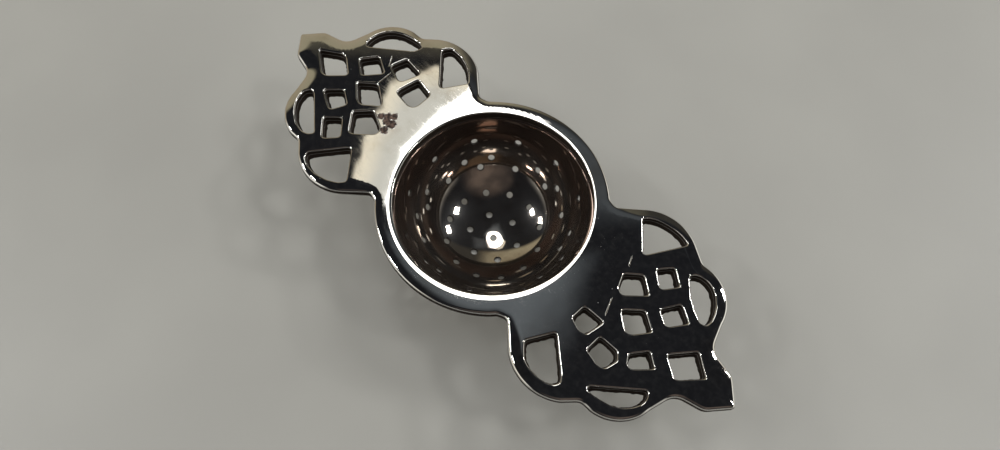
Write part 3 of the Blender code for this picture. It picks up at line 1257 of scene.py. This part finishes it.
class Material:
    """New material with a Principled shader and a graph to feed it."""

    def __init__(self, name: str) -> None:
        """Create an empty finish.

        Args:
            name: Name of the material.
        """
        self.data = bpy.data.materials.new(name)
        self.data.use_nodes = True
        self.graph = Graph(self.data.node_tree)
        self.shader = self.data.node_tree.nodes["Principled BSDF"]

    def feed(self, **inputs: object) -> None:
        """Link sockets or set values on the shader, with underscores for spaces in names."""
        for name, value in inputs.items():
            self.graph.put(self.shader.inputs[name.replace("_", " ")], value)


@dataclass(frozen=True)
class HandlingWear:
    """Handling wear that both plated finishes share: smudges, fine scratches and specks.

    Each set of scratches has a direction in degrees, a shift of its field and a width.
    """

    SCRATCHES = ((24.0, 11.0, 0.010), (-57.0, 37.0, 0.008), (71.0, 53.0, 0.007))
    broad: Pattern = Pattern(0.085, 4.0, 0.62, 0.42, 0.68)
    wiped: Pattern = Pattern(1.0, 5.0, 0.65, 0.38, 0.66)
    wipe_turn: float = 38.0
    wipe_stretch: Triple = (0.06, 0.5, 0.3)
    scratch_stretch: Triple = (0.10, 1.5, 0.3)
    scratch_field: Triple = (1.0, 2.0, 0.45)
    scratch_middle: float = 0.5
    sparse: Pattern = Pattern(0.16, 1.0, 0.5, 0.52, 0.60)
    speck_scale: float = 0.55
    speck_edge: Span = (0.03, 0.06)
    speck_rarity: float = 0.86

    def scratches(self, graph: Graph, place: object, turn: float, shift: float, width: float) -> Socket:
        """Mask of one set of scratches.

        Args:
            graph: Graph of the group.
            place: Place in millimetres.
            turn: Direction of the scratches, in degrees.
            shift: Shift of the field that they follow.
            width: Width of a scratch, in levels of the field.

        Returns:
            One on a scratch, and zero away from it.
        """
        shifted = graph.vector("ADD", place, (shift, shift, 0.0))
        field = graph.noise(graph.mapped(shifted, turn, self.scratch_stretch), *self.scratch_field)
        near = graph.maths("ABSOLUTE", graph.maths("SUBTRACT", field, self.scratch_middle))
        return graph.times(graph.between(near, 0.0, width, 1.0, 0.0), graph.pattern(shifted, self.sparse))

    def build(self) -> bpy.types.NodeTree:
        """Build the group.

        Returns:
            Group with a place in millimetres as its input, and masks of smudges, scratches and specks.
        """
        tree = bpy.data.node_groups.new("handling_wear", "ShaderNodeTree")
        tree.interface.new_socket("Place", in_out="INPUT", socket_type="NodeSocketVector")
        for name in ("Smudge", "Scratch", "Speck"):
            tree.interface.new_socket(name, in_out="OUTPUT", socket_type="NodeSocketFloat")
        graph = Graph(tree)
        place = graph.node("NodeGroupInput").outputs[0]
        wiped = graph.pattern(graph.mapped(place, self.wipe_turn, self.wipe_stretch), self.wiped)
        smudge = graph.times(wiped, graph.pattern(place, self.broad))
        scratch = graph.chain("MAXIMUM", [self.scratches(graph, place, *kind) for kind in self.SCRATCHES])
        cells = graph.node("ShaderNodeTexVoronoi", {"Vector": place, "Scale": self.speck_scale}).outputs
        rare = graph.node("ShaderNodeSeparateColor", {0: cells["Color"]}).outputs[0]
        dot = graph.between(cells["Distance"], *self.speck_edge, 1.0, 0.0)
        speck = graph.times(dot, graph.maths("GREATER_THAN", rare, self.speck_rarity))
        graph.node("NodeGroupOutput", {0: smudge, 1: scratch, 2: speck})
        return tree


@dataclass(frozen=True)
class PlatedCasting:
    """Polished silver plate with smudges, scratches, scribed marks and a patch of corrosion.

    Spots of rust have a centre in plan and a radius. Scribed marks have two ends in plan.
    """

    RUST_SPOTS = (
        ((-36.2, -0.8), 1.8),
        ((-37.3, -2.0), 2.1),
        ((-38.8, -3.1), 1.8),
        ((-36.6, -3.3), 1.9),
        ((-35.0, -3.0), 2.5),
        ((-35.1, -5.6), 2.1),
    )
    SCRIBED = (
        ((36.2, 12.2), (37.3, 9.6)),
        ((39.6, 0.4), (41.2, -4.0)),
        ((-47.5, 4.0), (-47.4, 8.3)),
        ((-49.5, 9.6), (-51.2, 12.3)),
    )
    silver: Colour = (0.80, 0.785, 0.75, 1.0)
    tarnish: Colour = (0.50, 0.43, 0.34, 1.0)
    rust: Colour = (0.018, 0.010, 0.008, 1.0)
    rust_pale: Colour = (0.125, 0.08, 0.06, 1.0)
    grime_and_shade: Colour = (0.026, 0.020, 0.016, 1.0)
    tarnished: Pattern = Pattern(0.05, 5.0, 0.6, 0.48, 0.75, 0.0, 0.5)
    flaky: Pattern = Pattern(1.4, 2.0, 0.6, 0.42, 0.62)
    filmed: Pattern = Pattern(0.6, 5.0, 0.7, 0.40, 0.75, 0.0, 0.009)
    crumbs: Triple = (2.2, 4.0, 0.7)
    rust_level: Span = (0.16, 0.26)
    fray_scale: float = 1.3
    fray_detail: float = 4.0
    fray_reach: float = 1.5
    grime_breaks: Ease = (0.25, 0.62, 0.85, 1.0)
    caked_from: float = 0.8
    gloss: float = 0.028
    smudge_dulls: float = 0.028
    scratch_dulls: float = 0.05
    rust_dulls: float = 0.6
    grime_dulls: float = 0.3
    specks_bare: float = 0.6
    shine: float = 0.5
    waves: Triple = (0.07, 2.0, 0.45)
    wave_height: float = 0.00004
    cut_height: float = 0.00015
    scribe_width: float = 0.14
    scribe_ends: Span = (0.4, 0.2)
    scribe_cut: float = 0.4
    scratch_cut: float = 0.001

    def near_line(self, graph: Graph, place: object, start: Span, end: Span) -> Socket:
        """Mask of a scribed line.

        Args:
            graph: Graph of the material.
            place: Place in millimetres.
            start: One end of the line, in plan.
            end: The other end.

        Returns:
            One on the line, and zero away from it.
        """
        along = Vector(end) - Vector(start)
        half = along.length / 2
        turn = (*along.normalized(), 0.0)
        away = graph.vector("SUBTRACT", place, (*start, 0.0))
        reach = graph.vector("DOT_PRODUCT", away, turn)
        off = graph.maths("ABSOLUTE", graph.vector("DOT_PRODUCT", away, (-turn[1], turn[0], 0.0)))
        beyond = graph.maths("ABSOLUTE", graph.maths("SUBTRACT", reach, half))
        inside = graph.between(beyond, half - self.scribe_ends[0], half + self.scribe_ends[1], 1.0, 0.0)
        return graph.times(graph.between(off, self.scribe_width / 2, self.scribe_width, 1.0, 0.0), inside)

    def spot(self, graph: Graph, place: object, centre: Span, radius: float) -> Socket:
        """Mask that fades from one at a point in plan to zero at a radius."""
        away = graph.vector("DISTANCE", place, (*centre, PLATE_TOP / MM))
        return graph.between(away, 0.0, radius, 1.0, 0.0)

    def rusted(self, graph: Graph, place: object, crumbly: object) -> Socket:
        """Mask of the corrosion.

        Args:
            graph: Graph of the material.
            place: Place in millimetres.
            crumbly: Noise that breaks up the patch.

        Returns:
            One on rust, and zero on sound plate.
        """
        inputs = {"Vector": place, "Scale": self.fray_scale, "Detail": self.fray_detail}
        frayed = graph.node("ShaderNodeTexNoise", inputs).outputs["Color"]
        frayed = graph.vector("SUBTRACT", frayed, (0.5, 0.5, 0.5))
        frayed = graph.vector("MULTIPLY_ADD", frayed, (self.fray_reach, self.fray_reach, 0.0), place)
        patch = graph.chain("MAXIMUM", [self.spot(graph, frayed, *spot) for spot in self.RUST_SPOTS])
        return graph.between(graph.times(patch, crumbly), *self.rust_level)

    def build(self, wear: bpy.types.NodeTree) -> bpy.types.Material:
        """Make the material.

        Args:
            wear: Group of handling wear.

        Returns:
            The finish.
        """
        finish = Material(Slot.CASTING.value + "_finish")
        graph = finish.graph
        place = graph.millimetres()
        marks = graph.node("ShaderNodeGroup", {0: place}, node_tree=wear).outputs
        crumbly = graph.noise(place, *self.crumbs)
        rust = self.rusted(graph, place, crumbly)
        scribe = graph.chain("MAXIMUM", [self.near_line(graph, place, *ends) for ends in self.SCRIBED])
        dirt = graph.times(graph.grime_and_shade(), graph.between(crumbly, *self.grime_breaks))
        caked_and_shaded = graph.between(dirt, 0.0, self.caked_from)
        colour = graph.blend(graph.pattern(place, self.tarnished), self.silver, self.tarnish)
        flakes = graph.blend(graph.pattern(place, self.flaky), self.rust, self.rust_pale)
        colour = graph.blend(caked_and_shaded, graph.blend(rust, colour, flakes), self.grime_and_shade)
        smudged = graph.times(marks["Smudge"], self.smudge_dulls)
        scratched = graph.times(marks["Scratch"], self.scratch_dulls)
        dulled = graph.times(rust, self.rust_dulls)
        dulled = graph.maths("MAXIMUM", dulled, graph.times(dirt, self.grime_dulls))
        rough = graph.maths("ADD", smudged, scratched)
        rough = graph.maths("ADD", rough, graph.maths("ADD", dulled, self.gloss))
        specks = graph.times(marks["Speck"], self.specks_bare)
        dulling = graph.pattern(place, self.filmed)
        metallic = graph.maths("SUBTRACT", 1.0, graph.chain("MAXIMUM", (rust, specks, caked_and_shaded, dulling)))
        normal = graph.bump(graph.noise(place, *self.waves), self.wave_height)
        cuts = graph.maths("SUBTRACT", graph.times(rust, crumbly), graph.times(scribe, self.scribe_cut))
        cuts = graph.maths("SUBTRACT", cuts, graph.times(marks["Scratch"], self.scratch_cut))
        finish.feed(
            Base_Color=colour,
            Roughness=rough,
            Metallic=metallic,
            Normal=graph.bump(cuts, self.cut_height, normal),
            Specular_IOR_Level=graph.between(dirt, 0.0, self.caked_from, self.shine, 0.0),
        )
        return finish.data


@dataclass(frozen=True)
class PlatedBowl:
    """Polished silver plate, spun, darker and duller towards the mouth, with painted shade on the walls of
    its holes.
    """

    silver: Colour = (0.76, 0.69, 0.61, 1.0)
    stain: Colour = (0.34, 0.26, 0.20, 1.0)
    # Colour and metal darken towards the mouth, between two heights above the foot.
    dulling: Colour = (0.22, 0.16, 0.13, 1.0)
    # Painted shade on the walls of the bowl's holes.
    grime_and_shade: Colour = (0.026, 0.020, 0.016, 1.0)
    stained: Pattern = Pattern(0.14, 3.0, 0.5, 0.46, 0.74, 0.0, 0.6)
    dulling_start: float = 7.0
    dulling_full: float = 17.0
    gloss: float = 0.045
    smudge_dulls: float = 0.025
    stain_dulls: float = 0.03
    bare_metal: float = 0.99
    dulled_metal: float = 0.95
    waves: Triple = (0.09, 1.0, 0.4)
    wave_height: float = 0.00002
    spun: Triple = (2.2, 2.0, 0.6)
    spun_height: float = 0.0000005
    coat: float = 0.35
    coat_roughness: float = 0.3

    def build(self, wear: bpy.types.NodeTree) -> bpy.types.Material:
        """Make the material.

        Args:
            wear: Group of handling wear.

        Returns:
            The finish.
        """
        finish = Material(Slot.BOWL.value + "_finish")
        graph = finish.graph
        place = graph.millimetres()
        marks = graph.node("ShaderNodeGroup", {0: place}, node_tree=wear).outputs
        height = graph.node("ShaderNodeSeparateXYZ", {0: place}).outputs[2]
        stain = graph.pattern(place, self.stained)
        # Darker towards the mouth.
        dulling = graph.between(height, self.dulling_start, self.dulling_full)
        colour = graph.blend(dulling, graph.blend(stain, self.silver, self.stain), self.dulling)
        smudged = graph.times(marks["Smudge"], self.smudge_dulls)
        rough = graph.chain("ADD", (smudged, graph.times(stain, self.stain_dulls), self.gloss))
        turned = graph.noise(graph.node("ShaderNodeCombineXYZ", {2: height}).outputs[0], *self.spun)
        normal = graph.bump(graph.noise(place, *self.waves), self.wave_height)
        # Painted shade on the walls of the holes, as marked on the mesh.
        caked_and_shaded = graph.grime_and_shade()
        metal = graph.between(dulling, 0.0, 1.0, self.bare_metal, self.dulled_metal)
        finish.feed(
            Base_Color=graph.blend(caked_and_shaded, colour, self.grime_and_shade),
            Roughness=rough,
            Metallic=graph.maths("SUBTRACT", metal, caked_and_shaded),
            Normal=graph.bump(turned, self.spun_height, normal),
            Coat_Weight=self.coat,
            Coat_Roughness=self.coat_roughness,
        )
        return finish.data


@dataclass(frozen=True)
class SoftSolder:
    """Dull tin solder with a mottled skin."""

    bright: Colour = (0.52, 0.52, 0.51, 1.0)
    dull: Colour = (0.27, 0.265, 0.25, 1.0)
    mottled: Pattern = Pattern(0.5, 6.0, 0.7, 0.38, 0.66)
    roughness: Span = (0.32, 0.58)
    skin: Triple = (1.8, 5.0, 0.6)
    skin_height: float = 0.00008

    def build(self) -> bpy.types.Material:
        """Make the material.

        Returns:
            The finish.
        """
        finish = Material(Slot.SOLDER.value + "_finish")
        graph = finish.graph
        place = graph.millimetres()
        mottle = graph.pattern(place, self.mottled)
        finish.feed(
            Base_Color=graph.blend(mottle, self.bright, self.dull),
            Roughness=graph.between(mottle, 0.0, 1.0, *self.roughness),
            Metallic=1.0,
            Normal=graph.bump(graph.noise(place, *self.skin), self.skin_height),
        )
        return finish.data


@dataclass(frozen=True)
class Lamp:
    """One soft lamp panel, as radiance over a rectangle that hangs level or faces the strainer."""

    name: str
    place: Triple
    size: Span
    radiance: float
    level: bool = False
    mirrored: bool = True

    def build(self) -> None:
        """Hang the lamp."""
        data = bpy.data.lights.new(self.name, "AREA")
        data.shape = "RECTANGLE"
        data.size, data.size_y = self.size
        data.energy = self.radiance * math.pi * self.size[0] * self.size[1]
        lamp = add_object(self.name, data)
        lamp.location = self.place
        if not self.level:
            lamp.rotation_euler = Vector(self.place).to_track_quat("Z", "Y").to_euler()
        lamp.visible_glossy = self.mirrored
        LOG.info("lamp %s", self.name)


def aimed(azimuth: float, elevation: float, distance: float = 1.6) -> Triple:
    """Place of a lamp.

    Args:
        azimuth: Degrees clockwise from the top of the picture.
        elevation: Degrees above the table.
        distance: Distance from the strainer.

    Returns:
        The place, in metres.
    """
    turn, rise = math.radians(azimuth), math.radians(elevation)
    plan = PICTURE_UP * math.cos(turn) + PICTURE_RIGHT * math.sin(turn)
    place = plan * math.cos(rise) * distance
    return place.x, place.y, math.sin(rise) * distance + PLATE_TOP


FILLS = (("north", 0.0, 3.6), ("east", 90.0, 2.4), ("south", 180.0, 0.7), ("west", 270.0, 2.0))
LAMPS = (
    Lamp("east_low", aimed(65.0, 40.0), (0.20, 0.12), 36.0),
    Lamp("east_high", aimed(94.0, 51.0), (0.20, 0.14), 36.0),
    Lamp("west_low", aimed(-77.0, 38.0), (0.18, 0.12), 32.0),
    Lamp("west_high", aimed(-91.0, 48.0), (0.18, 0.12), 32.0),
    Lamp("overhead", (0.1, -0.1, 1.7), (1.4, 1.4), 1.2, True, False),
    Lamp("key_east", aimed(45.0, 50.0), (0.34, 0.34), 13.0, mirrored=False),
    Lamp("key_west", aimed(-75.0, 58.0), (0.34, 0.34), 5.0, mirrored=False),
    *(
        Lamp("fill_" + side, aimed(azimuth, 18.0, 1.5), (1.2, 0.5), radiance, mirrored=False)
        for side, azimuth, radiance in FILLS
    ),
)


@dataclass(frozen=True)
class Panel:
    """One lit panel of the ceiling, by its anticlockwise corners on a level plane at the camera's height.

    The plane's origin is under the camera, so that a corner lies where the level top of the casting mirrors
    it. Every edge that ends at a corner has a softness.
    """

    LEVEL = 164.4
    ORIGIN = (57.7, -57.6, 0.0)
    LOWEST = 0.05
    corners: tuple[Span, ...]
    soft: tuple[float, ...]

    def depths(self, graph: Graph, look: object) -> list[Socket]:
        """How far inside each edge of the panel a direction points.

        Args:
            graph: Graph of the room.
            look: Direction.

        Returns:
            Distance from the edge that ends at each corner, which is negative outside.
        """
        height = graph.node("ShaderNodeSeparateXYZ", {0: look}).outputs[2]
        stretch = graph.maths("DIVIDE", self.LEVEL, graph.maths("MAXIMUM", height, self.LOWEST))
        point = graph.scaled(look, stretch)
        depths = []
        for n, corner in enumerate(self.corners):
            edge = (Vector(corner) - Vector(self.corners[n - 1])).normalized()
            normal = Vector((-edge.y, edge.x, 0.0))
            offset = normal.dot(Vector((*corner, 0.0)) - Vector(self.ORIGIN))
            reach = graph.vector("DOT_PRODUCT", point, tuple(normal))
            depths.append(graph.maths("SUBTRACT", reach, offset))
        return depths

    def mask(self, graph: Graph, look: object) -> Socket:
        """One inside the panel, and zero outside."""
        edges = zip(self.depths(graph, look), self.soft)
        return graph.chain("MINIMUM", [graph.between(depth, -soft, soft) for depth, soft in edges])


WHITE_PANEL = Panel(
    ((-26.6, 21.5), (-28.0, 4.0), (-26.8, -6.8), (-18.6, -19.3), (10.8, -22.9), (23.8, -10.5), (-8.0, 27.5)),
    (2.0, 0.8, 0.8, 0.8, 1.2, 1.5, 3.0),
)
HAZE_PANEL = Panel(
    ((-10.0, -26.0), (29.3, -48.1), (37.3, -36.2), (33.0, -9.0), (28.0, 2.0)), (4.0, 12.0, 14.0, 9.0, 6.0)
)
EAST_PANEL = Panel(
    ((16.6, 11.6), (47.5, 37.1), (15.8, 70.3), (-13.3, 37.1), (-7.9, 25.7)), (3.0, 6.0, 16.0, 16.0, 8.0)
)
CREAM_PANEL = Panel(
    ((-24.0, 23.0), (-39.5, 18.5), (-44.3, 6.0), (-36.5, -11.5), (-30.0, -21.0), (-19.0, -22.5)),
    (1.0, 1.2, 1.2, 0.8, 0.8, 0.8),
)
CREAM_OUTER = slice(1, 5)


@dataclass
class Studio:
    """Table, lamps, surrounding room and camera.

    Fades of the room are levels of a direction's parts: low and high, then the shares there.
    """

    table_grey: Colour = (0.365, 0.36, 0.33, 1.0)
    table_dark: Colour = (0.34, 0.335, 0.308, 1.0)
    table_cloud: Pattern = Pattern(0.012, 3.0, 0.5, 0.35, 0.65)
    table_rough: Pattern = Pattern(0.9, 4.0, 0.6, 0.3, 0.7, 0.38, 0.48)
    table_size: float = 6.0
    room_dark: Colour = (0.011, 0.0115, 0.0135, 1.0)
    room_foot: Colour = (0.15, 0.147, 0.14, 1.0)
    foot_fade: Ease = (0.06, 0.24, 1.0, 0.0)
    foot_sides: Ease = (-0.3, 0.3, 0.2, 1.0)
    room_flank: Colour = (1.3, 1.28, 1.2, 1.0)
    flank_sides: Ease = (0.6, 0.85)
    flank_fade: Ease = (0.12, 0.55, 1.0, 0.0)
    wall_top: Colour = (0.31, 0.28, 0.195, 1.0)
    wall_foot: Colour = (0.37, 0.31, 0.225, 1.0)
    wall_rise: float = 1.33
    wall_edge: Ease = (0.0, 0.13)
    wall_sides: Ease = (-0.05, 0.28, 1.0, 0.08)
    wall_shades: Ease = (0.2, 0.75)
    warm_patch: Colour = (0.13, 0.103, 0.088, 1.0)
    patch_aim: Span = (172.0, 38.0)
    patch_edge: Span = (34.0, 6.0)
    patch_cloud: Pattern = Pattern(2.5, 2.0, 0.5, 0.3, 0.7, 0.4, 1.0)
    panel_white: Colour = (4.0, 4.0, 3.95, 1.0)
    panel_haze: Colour = (0.115, 0.128, 0.14, 1.0)
    east_share: float = 0.5
    panel_grey: Colour = (0.70, 0.69, 0.63, 1.0)
    panel_cream: Colour = (1.0, 0.92, 0.74, 1.0)
    cream_border: float = 7.0
    camera_place: Triple = (57.67, -57.607, 164.401)
    camera_right: Triple = (0.72344, 0.69039, -0.00022)
    camera_up: Triple = (-0.62988, 0.66016, 0.40920)
    lens: float = 25.697
    sensor: float = 36.0
    nearest: float = 0.01

    def table(self) -> None:
        """Lay the pale satin table top."""
        bm = bmesh.new()
        bmesh.ops.create_grid(bm, x_segments=4, y_segments=4, size=self.table_size)
        mesh = bpy.data.meshes.new("table")
        bm.to_mesh(mesh)
        bm.free()
        obj = add_object("table", mesh)
        finish = Material("table_top")
        graph = finish.graph
        place = graph.millimetres()
        finish.feed(
            Base_Color=graph.blend(graph.pattern(place, self.table_cloud), self.table_dark, self.table_grey),
            Roughness=graph.pattern(place, self.table_rough),
        )
        mesh.materials.append(finish.data)

    def walls(self, graph: Graph, look: object) -> Socket:
        """Colour of the room without its panels.

        Args:
            graph: Graph of the room.
            look: Direction.

        Returns:
            Dark room with a pale foot and flanks, one dim wall at the picture's top and a warm patch.
        """
        height = graph.node("ShaderNodeSeparateXYZ", {0: look}).outputs[2]
        ahead = graph.vector("DOT_PRODUCT", look, (*PICTURE_UP, 0.0))
        aside = graph.vector("DOT_PRODUCT", look, (*PICTURE_RIGHT, 0.0))
        foot = graph.times(graph.between(height, *self.foot_fade), graph.between(ahead, *self.foot_sides))
        flank = graph.between(graph.maths("ABSOLUTE", aside), *self.flank_sides)
        flank = graph.times(flank, graph.between(height, *self.flank_fade))
        above = graph.maths("SUBTRACT", graph.times(ahead, self.wall_rise), height)
        wall = graph.times(graph.between(above, *self.wall_edge), graph.between(aside, *self.wall_sides))
        behind = Vector(aimed(*self.patch_aim, 1.0)) - Vector((0.0, 0.0, PLATE_TOP))
        edge = [math.cos(math.radians(angle)) for angle in self.patch_edge]
        patch = graph.between(graph.vector("DOT_PRODUCT", look, tuple(behind)), *edge)
        patch = graph.times(patch, graph.pattern(look, self.patch_cloud))
        colour = graph.blend(foot, self.room_dark, self.room_foot)
        colour = graph.blend(flank, colour, self.room_flank)
        colour = graph.blend(patch, colour, self.warm_patch)
        shades = graph.blend(graph.between(height, *self.wall_shades), self.wall_foot, self.wall_top)
        return graph.blend(wall, colour, shades)

    def room(self) -> None:
        """Surround the table with a dark room and hang the soft panels that the polished top mirrors."""
        world = bpy.data.worlds.new("room")
        world.use_nodes = True
        graph = Graph(world.node_tree)
        look = graph.node("ShaderNodeTexCoord").outputs["Generated"]
        within = graph.chain("MINIMUM", CREAM_PANEL.depths(graph, look)[CREAM_OUTER])
        cream = graph.blend(graph.between(within, 0.0, self.cream_border), self.panel_cream, self.panel_grey)
        faint = graph.times(EAST_PANEL.mask(graph, look), self.east_share)
        colour = graph.blend(HAZE_PANEL.mask(graph, look), self.walls(graph, look), self.panel_haze)
        colour = graph.blend(faint, colour, self.panel_haze)
        colour = graph.blend(CREAM_PANEL.mask(graph, look), colour, cream)
        colour = graph.blend(WHITE_PANEL.mask(graph, look), colour, self.panel_white)
        graph.put(world.node_tree.nodes["Background"].inputs["Color"], colour)
        bpy.context.scene.world = world

    def camera(self) -> None:
        """Set up the camera where the picture was taken from."""
        data = bpy.data.cameras.new("camera")
        data.sensor_fit = "HORIZONTAL"
        data.sensor_width = self.sensor
        data.lens = self.lens
        data.clip_start = self.nearest
        right, up = Vector(self.camera_right), Vector(self.camera_up)
        axes = Matrix((right, up, right.cross(up))).transposed().to_4x4()
        place = Vector(self.camera_place) * MM + Vector((0.0, 0.0, PLATE_TOP))
        obj = add_object("camera", data)
        obj.matrix_world = Matrix.Translation(place) @ axes
        bpy.context.scene.camera = obj

    def build(self) -> None:
        """Set up everything round the strainer."""
        self.camera()
        self.table()
        self.room()
        for lamp in LAMPS:
            lamp.build()
        bpy.context.scene.view_settings.view_transform = "Standard"


def main() -> None:
    """Build the studio and the strainer."""
    logging.basicConfig(level=logging.INFO, format="%(name)s: %(message)s")
    Studio().build()
    wear = HandlingWear().build()
    Casting().build(PlatedCasting().build(wear))
    StrainerBowl().build(PlatedBowl().build(wear))
    SolderSeam().build(SoftSolder().build())


if __name__ == "__main__":
    main()
